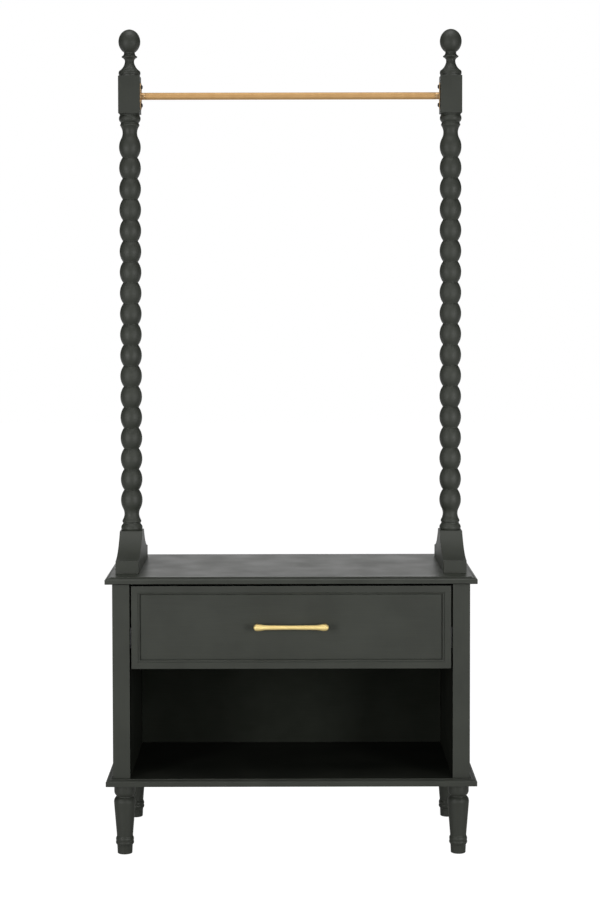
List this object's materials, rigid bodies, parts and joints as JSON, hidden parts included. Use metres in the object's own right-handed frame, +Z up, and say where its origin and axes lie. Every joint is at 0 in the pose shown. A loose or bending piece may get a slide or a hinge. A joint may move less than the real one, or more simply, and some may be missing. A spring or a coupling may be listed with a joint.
{
  "type": "clothing rack with drawer",
  "caption": "Low case on turned legs with a drawer over an open compartment, and turned posts that carry a hanging rail for clothes.",
  "frame": {"origin": "on the floor, under the middle of the rack's whole box", "axes": "+Z up, the drawer front faces -Y, +X to the right as seen from the front"},
  "size_m": [0.813, 0.4074, 1.8285],
  "materials": {
    "painted_wood": "satin dark green-grey paint",
    "birch": "clear lacquer on bare wood",
    "brushed_brass": "satin lacquered",
    "zinc_steel": "zinc plated",
    "black_steel": "black oxide"
  },
  "bodies": {
    "frame": {"top_board": "painted_wood", "bottom_board": "painted_wood", "left_front_stile": "painted_wood", "right_front_stile": "painted_wood", "left_rear_stile": "painted_wood", "right_rear_stile": "painted_wood", "left_side_panel": "painted_wood", "right_side_panel": "painted_wood", "left_lining": "painted_wood", "right_lining": "painted_wood", "back_panel": "painted_wood", "divider_shelf": "painted_wood", "carcass_dowels": "birch", "cam_bolts": "zinc_steel", "cam_nuts": "zinc_steel", "bottom_screws": "zinc_steel", "divider_dowels": "birch", "front_left_leg": "painted_wood", "front_right_leg": "painted_wood", "rear_left_leg": "painted_wood", "rear_right_leg": "painted_wood", "leg_bolts": "zinc_steel", "leg_inserts": "zinc_steel", "left_post_base": "painted_wood", "right_post_base": "painted_wood", "left_post": "painted_wood", "right_post": "painted_wood", "left_finial": "painted_wood", "right_finial": "painted_wood", "finial_studs": "zinc_steel", "post_bolts": "zinc_steel", "post_inserts": "zinc_steel", "base_bolts": "zinc_steel", "base_inserts": "zinc_steel", "hanging_rail": "brushed_brass", "left_rail_flange": "brushed_brass", "right_rail_flange": "brushed_brass", "flange_screws": "black_steel", "left_slide_case_member": "zinc_steel", "right_slide_case_member": "zinc_steel", "slide_case_screws": "zinc_steel"},
    "drawer": {"left_slide_drawer_member": "zinc_steel", "right_slide_drawer_member": "zinc_steel", "slide_drawer_screws": "zinc_steel", "drawer_front": "painted_wood", "drawer_box_front": "birch", "drawer_left_side": "birch", "drawer_right_side": "birch", "drawer_back": "birch", "drawer_bottom": "birch", "drawer_dowels": "birch", "drawer_front_screws": "zinc_steel", "drawer_handle": "brushed_brass", "handle_screws": "zinc_steel"},
    "slide_middles": {"left_slide_middle": "zinc_steel", "right_slide_middle": "zinc_steel"},
    "outer_cages": {"left_outer_ball_cage": "zinc_steel", "right_outer_ball_cage": "zinc_steel"},
    "inner_cages": {"left_inner_ball_cage": "zinc_steel", "right_inner_ball_cage": "zinc_steel"}
  },
  "joints": [
    {"name": "drawer_slide", "type": "slide", "parent": "frame", "child": "drawer", "axis": [0, -1, 0], "range_m": [0, 0.29]},
    {"name": "middle_slide", "type": "slide", "parent": "frame", "child": "slide_middles", "axis": [0, -1, 0], "range_m": [0, 0.145]},
    {"name": "outer_cage_slide", "type": "slide", "parent": "frame", "child": "outer_cages", "axis": [0, -1, 0], "range_m": [0, 0.0725]},
    {"name": "inner_cage_slide", "type": "slide", "parent": "frame", "child": "inner_cages", "axis": [0, -1, 0], "range_m": [0, 0.2175]}
  ],
  "couplings": [
    {"joint": "middle_slide", "follows": "drawer_slide", "ratio": 0.5},
    {"joint": "outer_cage_slide", "follows": "drawer_slide", "ratio": 0.25},
    {"joint": "inner_cage_slide", "follows": "drawer_slide", "ratio": 0.75}
  ]
}
